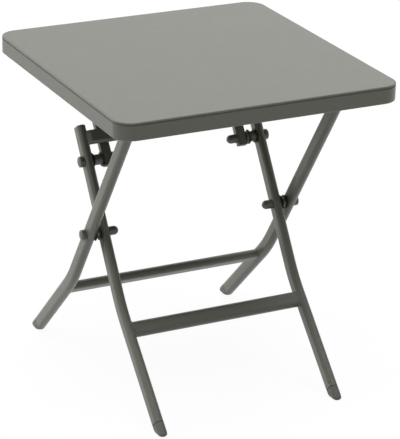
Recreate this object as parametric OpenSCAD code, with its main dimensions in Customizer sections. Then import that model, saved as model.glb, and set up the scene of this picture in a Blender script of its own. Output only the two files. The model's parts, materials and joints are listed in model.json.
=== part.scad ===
// Folding side table: a pressed steel tray top on two crossed frames of flat-sided oval tube.
// X runs along the front edge, Y from front to back, Z up. The floor is Z = 0.

/* [Table top] */
// Width of the top, left to right
top_w = 400; // [300:5:600]
// Depth of the top, front to back
top_d = 412; // [360:4:600]
// Height of the top surface above the floor
table_h = 445; // [400:1:500]
// Thickness of the pressed sheet
sheet_t = 1; // [0.6:0.1:1.2]
// Height of the turned-down edge
skirt_h = 24; // [20:1:32]
// Radius of the top's corners in plan
corner_r = 25; // [12:1:60]
// Outside radius of the fold between the surface and the edge
edge_r = 1.5; // [1.4:0.1:3]
// Distance of the crease below the surface, where it starts
crease_drop = 2.5; // [2.4:0.1:5]
// Width of the crease that is pressed in along the edge, below the fold
crease_w = 1.4; // [1:0.1:2.5]
// Depth of the crease
crease_d = 1; // [0.6:0.1:1.5]
// Width of the hem that is turned in along the foot of the edge
hem_w = 6; // [3:0.5:9]

/* [Tube] */
// Long side of the oval tube
tube_d = 21; // [18:1:22]
// Short side of the oval tube
tube_t = 12.5; // [10:0.5:13]
// Wall of the oval tube
tube_wall = 1.2; // [1:0.1:2]
// Long side of the rails' tube
rail_d = 22; // [18:1:24]

/* [Frames] */
// Distance of the outer legs' centre lines in from the top's side edges
leg_inset = 48.5; // [34:0.5:60]
// Gap between the outer and the inner legs
leg_gap = 8.5; // [8.5:0.5:14]
// Height of the cross pivot as a share of the table's height
pivot_share = 0.485; // [0.475:0.005:0.5]
// Lean of the upper part of each leg from upright, in degrees
lean = 33.5; // [32:0.5:35]
// Further lean of the part below the bend, in degrees
bend = 12.2; // [8:0.2:16]
// Distance of the bend's corner from the cross pivot, as a share of the pivot's height
bend_share = 0.495; // [0.46:0.005:0.53]
// Radius of the bend, on the tube's centre line
bend_r = 210; // [120:5:260]
// Amount by which the tube's faces draw in over the bend
bend_draw = 0.05; // [0.03:0.01:0.1]
// Distance of the front rail below the bend's corner
front_rail_drop = 32; // [22:1:34]
// Distance of the rear rail below the bend's corner
rear_rail_drop = 33; // [20:1:34]
// Distance of the crossbar above the links' lower pivot, along the inner legs
bar_rise = 30; // [28:0.5:34]
// Length of the inner legs beyond the crossbar's centre line
inner_end = 17.5; // [15:0.5:22]
// Long side of the crossbar's oval tube
bar_d = 20; // [16:1:20]
// Short side of the crossbar's oval tube
bar_t = 10; // [8:1:12]

/* [Links] */
// Distance of the links' lower pivot above the cross pivot, as a share of the top hinge's
link_share = 0.395; // [0.386:0.001:0.401]
// Gap between the inner legs and the links
link_gap = 15.5; // [14:0.5:20]
// Width of the link's tube, across the table
link_w = 14; // [10:0.5:15]
// Depth of the link's tube
link_d = 10; // [9:0.5:12]
// Wall of the link's tube
link_wall = 1.5; // [1:0.1:2]
// Corner radius of the link's tube
link_r = 1.7; // [1.6:0.1:3]
// Backward lean of the links from the inner legs, in degrees
link_lean = 2; // [1:0.5:4]
// Length of the link beyond each of its pivots
link_end = 9.5; // [9:0.5:13]
// Radius of the collar on the right-hand face of each link, round its lower pivot
collar_r = 8; // [7:0.5:9]
// Thickness of that collar
collar_t = 3; // [2:0.5:4]
// Turn of the top when the table is folded, in degrees
top_turn = 48; // [40:1:50]
// Turn of the inner frame when the table is folded, in degrees
leg_turn = 62; // [56:1:62]

/* [Brackets] */
// Distance of the top's hinge below the top surface
hinge_drop = 20; // [19:0.5:22]
// Length of the outer legs beyond the top's hinge
hinge_end = 10; // [9:0.5:11]
// Thickness of the bracket plates
plate_t = 2.5; // [2:0.1:3]
// Radius of a bracket round its pivot
ear_r = 10; // [8:0.5:11]
// Length of the rear brackets along the sheet
foot_l = 56; // [40:1:80]
// Width of the rear brackets' flange
flange_w = 18; // [12:1:24]

/* [Fasteners] */
// Radius of the bolts
bolt_r = 4; // [3:0.5:4]
// Radius of the bolt heads
head_r = 7.5; // [6.5:0.5:8]
// Height of the bolt heads, of which the rim takes the next value
head_h = 7; // [6:0.5:8]
// Height of the heads' straight rim
rim_h = 5; // [3:0.2:5.4]
// Width across the flats of the nuts
nut_af = 13; // [11:1:13]
// Height of the nuts, and of the bolt's hold in a cap nut
nut_h = 6; // [5:0.5:6]
// Radius of the cap nuts and their dome
dome_r = 6.2; // [5.6:0.2:6.4]
// Length of a cap nut in all
cap_nut_l = 14.4; // [12:0.1:14.8]
// Radius of the spacers between the tubes
spacer_r = 7.4; // [6:0.2:7.4]
// Thickness of the washers of the top's hinge
washer_t = 1.3; // [1:0.1:2]
// Depth of the socket in the hinge bolts' and link screws' heads
socket_h = 2.5; // [1.5:0.5:3]
// Width across the flats of that socket
socket_af = 5; // [4:1:6]

/* [Plastic ends] */
// Length of a foot's visible part, along the leg's centre line
shoe_l = 16; // [14:0.5:24]
// Amount trimmed off the sharp tip of each foot
toe_trim = 5.5; // [3:0.5:8]
// Radius under the toe
toe_r = 5; // [2:0.5:5]
// Radius under the heel
heel_r = 17; // [12:1:20]
// Distance from the heel's corner to where its rounding leaves the floor
heel_at = 7; // [4:0.5:8]
// Length of the stem that each plastic end has inside its tube
stem_l = 14; // [8:1:20]
// Thickness of the plugs that close the tube ends
plug_t = 1.5; // [1:0.1:2]

/* [Fits] */
// Radial clearance of a bolt in its hole
bore_gap = 0.05; // [0.02:0.01:0.1]
// Gap between faces that turn past each other
side_gap = 0.3; // [0.2:0.05:0.5]
// Gap round a plastic stem in its tube
stem_gap = 0.1; // [0.05:0.05:0.2]

/* [Hidden] */
$fn = 48;
LEFT = -1;
RIGHT = 1;
// How much of the heel's radius its rounding runs along the floor
heel_share = 0.62;
// One overrun serves all cuts
over = 2;
paint = "#8A8B80";
dark_paint = "#7C7D73";
plastic = "#6F7067";

// Places across the table
outer_x = top_w / 2 - leg_inset;
inner_x = outer_x - tube_t - leg_gap;
link_x = inner_x - tube_t / 2 - link_gap - link_w / 2;

// Lengths along a leg, from the cross pivot down
pivot_h = table_h * pivot_share;
bend_at = pivot_h * bend_share;
arc_start = bend_at - bend_r * tan(bend / 2);
foot_lean = lean + bend;
arc_drop = bend_r * (sin(foot_lean) - sin(lean));
lower_l = (pivot_h - arc_start * cos(lean) - arc_drop) / cos(foot_lean);
seam_l = lower_l - shoe_l;
foot_y = arc_start * sin(lean) + bend_r * (cos(lean) - cos(foot_lean)) + lower_l * sin(foot_lean);
half_sole = tube_d / 2 / cos(foot_lean);
toe_y = foot_y + half_sole - toe_trim;
heel_y = foot_y - half_sole + heel_at;
arc_end_drop = bend_r * tan(bend / 2);

// The top's hinge on the outer legs
sheet_z = table_h - sheet_t;
hinge_h = table_h - hinge_drop;
hinge_at = (hinge_h - pivot_h) / cos(lean);
hinge_y = -hinge_at * sin(lean);
hinge = [hinge_y, hinge_h];

// Lengths along an inner leg, from the cross pivot up
link_at = hinge_at * link_share;
bar_at = link_at + bar_rise;
inner_reach = bar_at + inner_end;

// The link closes the four pivots both when the table stands and when it is folded
function turned(a, v) = [cos(a) * v[0] - sin(a) * v[1], sin(a) * v[0] + cos(a) * v[1]];
pivot = [0, pivot_h];
link_low = pivot + link_at * [sin(lean), cos(lean)];
link_low_folded = pivot + turned(leg_turn, link_low - pivot);
link_way = [sin(lean + link_lean), cos(lean + link_lean)];
link_shift = hinge + turned(-top_turn, link_low - hinge) - link_low_folded;
link_l = -(link_shift * link_shift) / (2 * link_shift * turned(-top_turn, link_way));
link_high = link_low + link_l * link_way;

// Faces across the table
inner_face = inner_x - tube_t / 2;
outer_face = outer_x + tube_t / 2;
bar_back = link_d / 2 - (bar_at - bar_d / 2 - link_at) * tan(link_lean) + side_gap;
bar_off = bar_back + bar_t / 2;
plate_x = link_x - link_w / 2 - side_gap;
ear_gap = washer_t + side_gap;
nut_spigot = cap_nut_l - nut_h - dome_r;
// Where the cap nuts of the links' lower pivot start: the collars are both on the right
function link_nut_x(side) = link_x - link_w / 2 - side_gap - (side < 0 ? collar_t : 0);

// Oval with its long side along X
module oval(long, short) {
  square([long - short, short], center = true);
  for (s = [-1, 1]) translate([s * (long - short) / 2, 0]) circle(d = short);
}

// Rectangle with round corners
module round_rect(w, d, r) {
  square([w - 2 * r, d], center = true);
  square([w, d - 2 * r], center = true);
  for (x = [-1, 1], y = [-1, 1]) translate([x * (w / 2 - r), y * (d / 2 - r)]) circle(r);
}

// Wall of an oval tube, long side along X
module oval_wall(long, short, wall) {
  difference() {
    oval(long, short);
    oval(long - 2 * wall, short - 2 * wall);
  }
}

// The legs' tube, with both faces drawn in by a depth
module tube_section(draw = 0) {
  oval_wall(tube_d - 2 * draw, tube_t - 2 * draw, tube_wall - 2 * draw);
}

// Wall of the link's tube
module link_section() {
  difference() {
    round_rect(link_w, link_d, link_r);
    round_rect(link_w - 2 * link_wall, link_d - 2 * link_wall, link_r - link_wall);
  }
}

// Places its children in a frame whose Z runs up the inner legs from the cross pivot
module inner_frame() {
  translate([0, 0, pivot_h]) rotate([-lean, 0, 0]) children();
}

// The same for the outer legs
module outer_frame() {
  mirror([0, 1, 0]) inner_frame() children();
}

// From a leg's frame to one whose Z runs up its lower part from the end of the bend
module lower_part() {
  translate([0, -bend_r, -arc_start]) rotate([-bend, 0, 0]) translate([0, bend_r, 0]) children();
}

// Bent leg tube, reaching up past the cross pivot. Its straight parts lap into the bend by a wall.
module leg_tube(reach) {
  translate([0, 0, -arc_start - tube_wall]) linear_extrude(arc_start + tube_wall + reach)
    rotate(90) tube_section();
  translate([0, -bend_r, -arc_start]) rotate([-90, 0, 90])
    rotate_extrude(angle = bend) translate([bend_r, 0]) tube_section(bend_draw);
  lower_part() translate([0, 0, -seam_l]) linear_extrude(seam_l + tube_wall) rotate(90) tube_section();
}

// Cross hole through a leg, at a distance above the cross pivot
module leg_bore(at) {
  translate([0, 0, at]) rotate([0, 90, 0])
    cylinder(r = bolt_r + bore_gap, h = tube_t + 2 * over, center = true);
}

// Straight tube between two legs, long side along the legs
module rail(half) {
  rotate([0, 90, 0]) linear_extrude(2 * half, center = true) oval_wall(rail_d, tube_t, tube_wall);
}

// Plastic plug in the end of an oval tube, with its head on +Z
module tube_plug() {
  linear_extrude(plug_t) rotate(90) oval(tube_d, tube_t);
  translate([0, 0, -stem_l]) linear_extrude(stem_l) rotate(90) tube_stem();
}

// Outline that fills the tube's inside
module tube_stem() {
  trim = 2 * (tube_wall + stem_gap);
  oval(tube_d - trim, tube_t - trim);
}

// Domed bolt head from Z = 0 outwards, with or without a hexagon socket
module bolt_head(socket) {
  rise = head_h - rim_h;
  ball_r = (head_r * head_r + rise * rise) / (2 * rise);
  difference() {
    union() {
      cylinder(r = head_r, h = rim_h);
      intersection() {
        translate([0, 0, head_h - ball_r]) sphere(ball_r);
        cylinder(r = head_r, h = head_h);
      }
    }
    if (socket)
      translate([0, 0, head_h - socket_h]) cylinder(d = socket_af / cos(30), h = socket_h + over, $fn = 6);
  }
}

// Bolt along -Z under its head at Z = 0
module bolt(shank, socket = false) {
  bolt_head(socket);
  translate([0, 0, -shank]) cylinder(r = bolt_r, h = shank);
}

// Cap nut from Z = 0 to its dome at the far end, with the bolt's hole
module cap_nut(hole) {
  difference() {
    union() {
      cylinder(r = dome_r, h = nut_h + nut_spigot);
      translate([0, 0, nut_h + nut_spigot]) sphere(dome_r);
    }
    translate([0, 0, -over]) cylinder(r = bolt_r + bore_gap, h = hole + over);
  }
}

// Turns Z outwards to the named side and mirrors the place along X with it
module facing(side, x) {
  translate([side * x, 0, 0]) rotate([0, side * 90, 0]) children();
}

// Section of the tray's edge: surface, fold, edge and hem. X runs out from the corner's centre.
module folded_edge() {
  in_r = edge_r - sheet_t;
  difference() {
    union() {
      translate([0, -skirt_h]) square([corner_r, skirt_h - edge_r]);
      translate([0, -edge_r]) square([corner_r - edge_r, edge_r]);
      translate([corner_r - edge_r, -edge_r]) circle(edge_r);
    }
    translate([-over, sheet_t - skirt_h])
      square([over + corner_r - sheet_t, skirt_h - sheet_t - edge_r]);
    translate([-over, -edge_r - over]) square([over + corner_r - edge_r, edge_r + over - sheet_t]);
    translate([corner_r - edge_r, -edge_r]) circle(in_r);
    translate([-over, -skirt_h - over]) square([over + corner_r - hem_w, over + skirt_h / 2]);
  }
}

// The same with the crease pressed in below the fold, which stands proud inside
module edge_section() {
  difference() {
    union() {
      folded_edge();
      translate([corner_r - crease_d - sheet_t, -crease_drop - crease_w - sheet_t])
        square([crease_d + sheet_t / 2, crease_w + 2 * sheet_t]);
    }
    translate([corner_r - crease_d, -crease_drop - crease_w]) square([crease_d + over, crease_w]);
  }
}

module table_top() {
  flat_w = top_w - 2 * corner_r;
  flat_d = top_d - 2 * corner_r;
  color(paint) translate([0, 0, table_h]) {
    translate([-flat_w / 2, -flat_d / 2, -sheet_t]) cube([flat_w, flat_d, sheet_t]);
    for (s = [0, 180]) rotate(s) {
      translate([flat_w / 2, flat_d / 2, 0]) rotate([90, 0, 0]) linear_extrude(flat_d) edge_section();
      translate([-flat_w / 2, flat_d / 2, 0]) rotate([90, 0, 90]) linear_extrude(flat_w) edge_section();
      translate([flat_w / 2, flat_d / 2, 0]) rotate_extrude(angle = 90) edge_section();
      translate([-flat_w / 2, flat_d / 2, 0]) rotate(90) rotate_extrude(angle = 90) edge_section();
    }
  }
}

// Plate in the YZ plane round a pivot: a round end, widening to its root
module lug(drop, root_half, thick) {
  rotate([90, 0, 90]) linear_extrude(thick) difference() {
    union() {
      circle(ear_r);
      polygon([[-ear_r, 0], [ear_r, 0], [root_half, drop], [-root_half, drop]]);
    }
    circle(bolt_r + bore_gap);
  }
}

// Fork welded under the sheet, with one ear on each side of the outer leg
module front_bracket(side) {
  near = outer_x - tube_t / 2 - ear_gap - plate_t;
  far = outer_face + ear_gap;
  width = far + plate_t - near;
  color(dark_paint) {
    for (x = [near, far])
      translate([side * x - (side < 0 ? plate_t : 0), hinge_y, hinge_h])
        lug(hinge_drop - sheet_t, ear_r, plate_t);
    translate([side * (near + width / 2) - width / 2, hinge_y - ear_r, sheet_z - plate_t])
      cube([width, 2 * ear_r, plate_t]);
  }
}

// Gusset that hangs from a flange under the sheet and carries the upper end of a link
module rear_bracket(side) {
  drop = sheet_z - link_high[1];
  color(dark_paint) {
    translate([side * plate_x - (side > 0 ? plate_t : 0), link_high[0], link_high[1]])
      lug(drop, foot_l / 2, plate_t);
    translate([side * (plate_x - flange_w / 2) - flange_w / 2, link_high[0] - foot_l / 2, sheet_z - plate_t])
      cube([flange_w, foot_l, plate_t]);
  }
}

// Bolts of the top's hinge, heads outwards
module hinge_bolts() {
  head_x = outer_face + ear_gap + plate_t;
  nut_x = outer_x - tube_t / 2 - ear_gap - plate_t;
  color(dark_paint) for (side = [LEFT, RIGHT])
    translate([0, hinge_y, hinge_h]) facing(side, head_x) bolt(head_x - nut_x + nut_h, true);
}

module hinge_nuts() {
  nut_x = outer_x - tube_t / 2 - ear_gap - plate_t;
  color(dark_paint) for (side = [LEFT, RIGHT])
    translate([0, hinge_y, hinge_h]) facing(side, nut_x) rotate([180, 0, 0]) difference() {
      cylinder(d = nut_af / cos(30), h = nut_h, $fn = 6);
      translate([0, 0, -over]) cylinder(r = bolt_r + bore_gap, h = nut_h + 2 * over);
    }
}

// Washers between the outer legs and the ears of the front brackets
module hinge_washers() {
  color(plastic) for (side = [LEFT, RIGHT], x = [outer_x - tube_t / 2 - ear_gap, outer_face + side_gap])
    translate([0, hinge_y, hinge_h]) facing(side, x) difference() {
      cylinder(r = spacer_r, h = washer_t);
      translate([0, 0, -over]) cylinder(r = bolt_r + bore_gap, h = washer_t + 2 * over);
    }
}

// Screws that hold the links' upper ends to the rear brackets, heads inwards
module link_screws() {
  color(dark_paint) for (side = [LEFT, RIGHT])
    translate([0, link_high[0], link_high[1]]) facing(side, plate_x - plate_t) rotate([180, 0, 0])
      bolt(plate_t, true);
}

module outer_leg(side) {
  color(paint) outer_frame() translate([side * outer_x, 0, 0]) difference() {
    leg_tube(hinge_at + hinge_end);
    leg_bore(0);
    leg_bore(hinge_at);
  }
}

module inner_leg(side) {
  color(paint) inner_frame() translate([side * inner_x, 0, 0]) difference() {
    leg_tube(inner_reach);
    leg_bore(0);
    leg_bore(link_at);
  }
}

module rear_rail() {
  color(paint) outer_frame() lower_part() translate([0, 0, arc_end_drop - rear_rail_drop])
    rail(outer_x - tube_t / 2);
}

module front_rail() {
  color(paint) inner_frame() lower_part() translate([0, 0, arc_end_drop - front_rail_drop])
    rail(inner_face);
}

// Bar across the front of the inner legs' upper ends, cut out to fit round them
module crossbar() {
  color(paint) inner_frame() difference() {
    translate([0, -bar_off, bar_at]) rotate([0, 90, 0])
      linear_extrude(2 * inner_x, center = true) oval_wall(bar_d, bar_t, tube_wall);
    for (side = [LEFT, RIGHT]) translate([side * inner_x, 0, 0])
      linear_extrude(inner_reach) rotate(90) oval(tube_d, tube_t);
  }
}

// Side outline of the feet's ends: level on the floor, rounded under the heel and the toe
module sole_outline() {
  heel_l = heel_r * heel_share;
  difference() {
    translate([-toe_y, 0]) square([toe_y, pivot_h]);
    translate([-toe_y - over, -over]) square([over + toe_r, over + toe_r]);
    difference() {
      translate([-heel_y, -over]) square([heel_l, over + heel_r - sqrt(heel_r * heel_r - heel_l * heel_l)]);
      translate([-heel_y, heel_r]) circle(heel_r);
    }
  }
  translate([toe_r - toe_y, toe_r]) circle(toe_r);
}

// Plastic foot at the end of an inner leg, with its stem in the tube
module foot(x) {
  intersection() {
    inner_frame() translate([x, 0, 0]) lower_part() {
      translate([0, 0, -lower_l - tube_d]) linear_extrude(shoe_l + tube_d) rotate(90) oval(tube_d, tube_t);
      translate([0, 0, -seam_l]) linear_extrude(stem_l) rotate(90) tube_stem();
    }
    translate([x - tube_t, 0, 0]) rotate([90, 0, 90]) linear_extrude(2 * tube_t) sole_outline();
  }
}

module front_foot(side) {
  color(plastic) foot(side * inner_x);
}

module rear_foot(side) {
  color(plastic) mirror([0, 1, 0]) foot(side * outer_x);
}

module inner_leg_plugs() {
  color(plastic) inner_frame() for (side = [LEFT, RIGHT])
    translate([side * inner_x, 0, inner_reach]) tube_plug();
}

module outer_leg_plugs() {
  plug_stem = hinge_end - bolt_r - side_gap;
  color(plastic) outer_frame() for (side = [LEFT, RIGHT])
    translate([side * outer_x, 0, hinge_at + hinge_end]) {
      linear_extrude(plug_t) rotate(90) oval(tube_d, tube_t);
      translate([0, 0, -plug_stem]) linear_extrude(plug_stem) rotate(90) tube_stem();
    }
}

// Bolts of the cross pivot: head on the outer leg, through the inner leg to the cap nut
module cross_bolts() {
  tip = inner_face - side_gap - nut_h;
  color(dark_paint) translate([0, 0, pivot_h]) for (side = [LEFT, RIGHT])
    facing(side, outer_face) bolt(outer_face - tip);
}

module cross_spacers() {
  from = inner_x + tube_t / 2 + side_gap;
  color(dark_paint) translate([0, 0, pivot_h]) for (side = [LEFT, RIGHT]) facing(side, from) difference() {
    cylinder(r = spacer_r, h = outer_x - tube_t / 2 - from);
    translate([0, 0, -over]) cylinder(r = bolt_r + bore_gap, h = outer_x - from + 2 * over);
  }
}

module cross_cap_nuts() {
  color(dark_paint) translate([0, 0, pivot_h]) for (side = [LEFT, RIGHT])
    facing(side, inner_face - side_gap) rotate([180, 0, 0]) cap_nut(nut_h + nut_spigot);
}

// Bolts of the links' lower pivot: head on the inner leg, through the link to the cap nut
module link_bolts() {
  head_x = inner_x + tube_t / 2;
  color(dark_paint) inner_frame() translate([0, 0, link_at]) for (side = [LEFT, RIGHT])
    facing(side, head_x) bolt(head_x - link_nut_x(side) + nut_h);
}

module link_spacers() {
  color(dark_paint) inner_frame() translate([0, 0, link_at]) for (side = [LEFT, RIGHT]) {
    from = link_x + link_w / 2 + side_gap + (side > 0 ? collar_t : 0);
    facing(side, from) difference() {
      cylinder(r = spacer_r, h = inner_face - from);
      translate([0, 0, -over]) cylinder(r = bolt_r + bore_gap, h = inner_face - from + 2 * over);
    }
  }
}

module link_cap_nuts() {
  color(dark_paint) inner_frame() translate([0, 0, link_at]) for (side = [LEFT, RIGHT])
    facing(side, link_nut_x(side)) rotate([180, 0, 0]) cap_nut(nut_h + nut_spigot);
}

// From the inner legs' frame to one whose Z runs up a link from its lower pivot
module link_frame() {
  inner_frame() translate([0, 0, link_at]) rotate([-link_lean, 0, 0]) children();
}

module link(side) {
  color(paint) link_frame() translate([side * link_x, 0, 0]) difference() {
    translate([0, 0, -link_end]) linear_extrude(link_l + 2 * link_end) link_section();
    for (z = [0, link_l]) translate([0, 0, z]) rotate([0, 90, 0])
      cylinder(r = bolt_r + bore_gap, h = link_w + 2 * over, center = true);
  }
}

// Plugs in both ends of a link
module link_plugs(side) {
  trim = 2 * (link_wall + stem_gap);
  stem = link_end - bolt_r - side_gap;
  color(plastic) link_frame() for (up = [0, 1])
    translate([side * link_x, 0, up * link_l]) rotate([180 * (1 - up), 0, 0]) {
      translate([0, 0, link_end]) linear_extrude(plug_t) round_rect(link_w, link_d, link_r);
      translate([0, 0, link_end - stem]) linear_extrude(stem)
        square([link_w - trim, link_d - trim], center = true);
    }
}

// Collar round the lower pivot, on the same face of both links, since they are one pressing
module link_collar(side) {
  color(paint) link_frame() translate([side * link_x + link_w / 2, 0, 0]) rotate([0, 90, 0]) difference() {
    cylinder(r = collar_r, h = collar_t);
    translate([0, 0, -over]) cylinder(r = bolt_r + bore_gap, h = collar_t + 2 * over);
  }
}

table_top();
front_bracket(LEFT);  // front_bracket_left
front_bracket(RIGHT);  // front_bracket_right
rear_bracket(LEFT);  // rear_bracket_left
rear_bracket(RIGHT);  // rear_bracket_right
hinge_bolts();
hinge_nuts();
hinge_washers();
link_screws();
outer_leg(LEFT);  // outer_leg_left
outer_leg(RIGHT);  // outer_leg_right
rear_rail();
cross_bolts();
cross_spacers();
cross_cap_nuts();
rear_foot(LEFT);  // rear_foot_left
rear_foot(RIGHT);  // rear_foot_right
outer_leg_plugs();
inner_leg(LEFT);  // inner_leg_left
inner_leg(RIGHT);  // inner_leg_right
front_rail();
crossbar();
link_bolts();
link_spacers();
link_cap_nuts();
front_foot(LEFT);  // front_foot_left
front_foot(RIGHT);  // front_foot_right
inner_leg_plugs();
link(LEFT);  // link_left
link(RIGHT);  // link_right
link_plugs(LEFT);  // link_plugs_left
link_plugs(RIGHT);  // link_plugs_right
link_collar(LEFT);  // link_collar_left
link_collar(RIGHT);  // link_collar_right
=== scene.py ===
import json
from math import asin, atan2, cos, pi, radians, sin, sqrt, tan

import bmesh
import bpy
from mathutils import Matrix, Vector


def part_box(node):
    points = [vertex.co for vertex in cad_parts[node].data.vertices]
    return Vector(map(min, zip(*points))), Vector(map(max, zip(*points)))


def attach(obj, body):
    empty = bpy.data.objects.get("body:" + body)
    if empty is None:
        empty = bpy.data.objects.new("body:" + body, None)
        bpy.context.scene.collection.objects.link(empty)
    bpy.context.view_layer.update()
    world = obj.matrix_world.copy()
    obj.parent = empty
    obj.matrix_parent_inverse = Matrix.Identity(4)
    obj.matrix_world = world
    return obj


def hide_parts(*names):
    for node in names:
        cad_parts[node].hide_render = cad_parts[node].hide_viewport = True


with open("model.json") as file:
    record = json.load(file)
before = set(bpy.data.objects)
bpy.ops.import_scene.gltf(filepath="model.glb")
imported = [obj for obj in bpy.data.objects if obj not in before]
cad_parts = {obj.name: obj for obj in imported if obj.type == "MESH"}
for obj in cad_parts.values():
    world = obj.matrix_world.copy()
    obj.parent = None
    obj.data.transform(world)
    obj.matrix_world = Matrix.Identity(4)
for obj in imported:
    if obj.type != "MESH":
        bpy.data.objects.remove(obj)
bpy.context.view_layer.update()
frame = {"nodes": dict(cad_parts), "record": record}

bl_info = {
    "name": "Folding side table",
    "version": (1, 0, 0),
    "blender": (4, 5, 0),
    "location": "3D View > Sidebar > Folding table",
    "description": "Dresses a packed folding side table: tray top, bent oval legs, links, feet and fasteners",
    "category": "Add Mesh",
}

MM = 0.001
LEFT, RIGHT = -1, 1
SIDES = {LEFT: "left", RIGHT: "right"}
# Half a turn about Z, and about X
HALF_TURN, OVER = Matrix.Rotation(pi, 4, "Z"), Matrix.Rotation(pi, 4, "X")
# Lays a shape that was drawn along Z across the table: X to Y, Y to Z and Z to X
ACROSS = Matrix(((0, 0, 1, 0), (1, 0, 0, 0), (0, 1, 0, 0), (0, 0, 0, 1)))
# Thickness of the crossbar's ends over the legs, ring by ring, as shares of the bar's
FLATTENED = (0.98, 0.93, 0.86, 0.78, 0.7, 0.63, 0.59, 0.57)
# Loops between a foot's side and its sole, and rings in a weld's hollow
SOLE_LOOPS, WELD_RINGS = 8, 5
# Steps in the domes of a bolt's head and of a cap nut, as angles up from the rim
HEAD_STEPS, NUT_STEPS = (14, 28, 42, 54, 64, 74, 82), [10.5 * step for step in range(1, 9)]
# Radii of the small edges
HEM_EDGE, SHOE_EDGE, COLLAR_EDGE, CUT_EDGE, TURNED_EDGE = 1.6 * MM, 0.6 * MM, 0.4 * MM, 0.35 * MM, 0.3 * MM
NUT_EDGE, BOLT_END_EDGE = 0.7 * MM, 0.5 * MM
# Roundings as shares: a plug's top edge of its height, a plate's fold of its thickness
PLUG_ROUND = FOLD_ROUND = 0.9
# Lengths of the stems in the tubes, and the play of a plug's stem
SHOE_STEM, PLUG_STEM, PLUG_PLAY = 6 * MM, 4 * MM, 0.1 * MM
# The crossbar: how far short of the legs its ends begin to flatten, and the length of each flattened ring
BAR_SHORT, BAR_RING = 4 * MM, 1.25 * MM
# A rail's weld: its reach across the tube's short side as a share, and how far the rail runs on beyond it
WELD_SIDE, RAIL_RUN_IN = 0.9, 1.5 * MM
# A bolt's head: radius of a plain dome's last ring, rim round a socket and the socket's sink below it
HEAD_FLAT, SOCKET_RIM, SOCKET_SINK = 0.6 * MM, 0.5 * MM, 0.2 * MM
# A cap nut's flange: its height, its step beyond the body and the ledge inside it
FLANGE_HEIGHT, FLANGE_STEP, FLANGE_LEDGE = 1.2 * MM, 0.35 * MM, 0.06 * MM
# The dish in a plain nut's face: its distance from the corners, and its depth
DISH_INSET, DISH_DEPTH = 1.2 * MM, 0.6 * MM
# Slack for what lies near a radius or a level, because the facets of round things only come close to it
SLACK = 0.3 * MM
# Largest angle between faces that are shaded as one surface, and least angle at a plate's cut edge
SMOOTH_ANGLE, CUT_ANGLE = radians(32), radians(50)
# The photograph's view, fitted to the table's edges and joints: angles in degrees, lengths in metres
VIEW_TURNED, VIEW_RAISED, VIEW_ROLLED = -26.487, 22.106, 1.117
VIEW_AIM, VIEW_DISTANCE = Vector((-0.00041, -0.0283, 0.2232)), 3.0102
# Focal length over the picture's height
VIEW_LENS = 2221.1 / 439
# Each light's strength, spread, azimuth from X and height above the floor, in degrees
LIGHTS = {
    "left_softbox": (0.75, 40, 158, 33), "back_left_softbox": (0.49, 40, 120, 12),
    "back_right_softbox": (0.3, 40, 60, 35), "front_softbox": (0.18, 30, -70, 62),
    "overhead_softbox": (1.5, 60, 0, 90),
}
# The floor's side in metres
FLOOR_SIZE = 40
# Strength of the floor's white as the camera and as gloss on the table see it, and the grey that adds its
# shadow to the camera's view
FLOOR_SEEN, FLOOR_MIRRORED, FLOOR_MATT = 0.94, 1.46, (0.1, 0.1, 0.1, 1)
WHITE = (1, 1, 1, 1)


# Sizes and colours

def linear(code):
    """An sRGB hex colour as the linear values that Blender works with."""
    parts = [int(code[i:i + 2], 16) / 255 for i in (1, 3, 5)]
    return tuple(p / 12.92 if p <= 0.04045 else ((p + 0.055) / 1.055) ** 2.4 for p in parts)


def length(name, mm, description):
    """A length property, given in millimetres."""
    return bpy.props.FloatProperty(name=name, description=description, default=mm * MM, min=0,
                                   unit="LENGTH", subtype="DISTANCE")


def angle(name, degrees, description):
    """An angle property, given in degrees."""
    return bpy.props.FloatProperty(name=name, description=description, default=radians(degrees),
                                   unit="ROTATION", subtype="ANGLE")


def colour(name, code, description):
    """A colour property, given as sRGB hex."""
    return bpy.props.FloatVectorProperty(name=name, description=description, default=linear(code),
                                         min=0, max=1, size=3, subtype="COLOR")


TOP_BOX = [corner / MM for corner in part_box("table_top")]


class TraySizes(bpy.types.PropertyGroup):
    width: length("Width", TOP_BOX[1].x - TOP_BOX[0].x, "Width of the top, left to right")
    depth: length("Depth", TOP_BOX[1].y - TOP_BOX[0].y, "Depth of the top, front to back")
    height: length("Height", TOP_BOX[1].z, "Height of the surface above the floor")
    skirt: length("Edge height", TOP_BOX[1].z - TOP_BOX[0].z, "Height of the turned-down edge")
    corner: length("Corner radius", 25, "Radius of the corners, seen from above")
    fold: length("Fold radius", 1.5, "Radius of the fold between the surface and the edge")
    crease_drop: length("Crease drop", 2.5, "Distance below the surface where the pressed crease starts")
    crease: length("Crease width", 1.4, "Width of the crease pressed in along the edge, below the fold")
    crease_depth: length("Crease depth", 1, "Depth of that crease")
    hem: length("Hem", 6, "Width of the hem turned in along the foot of the edge")
    sheet: length("Sheet", 1, "Thickness of the pressed steel sheet")


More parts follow.
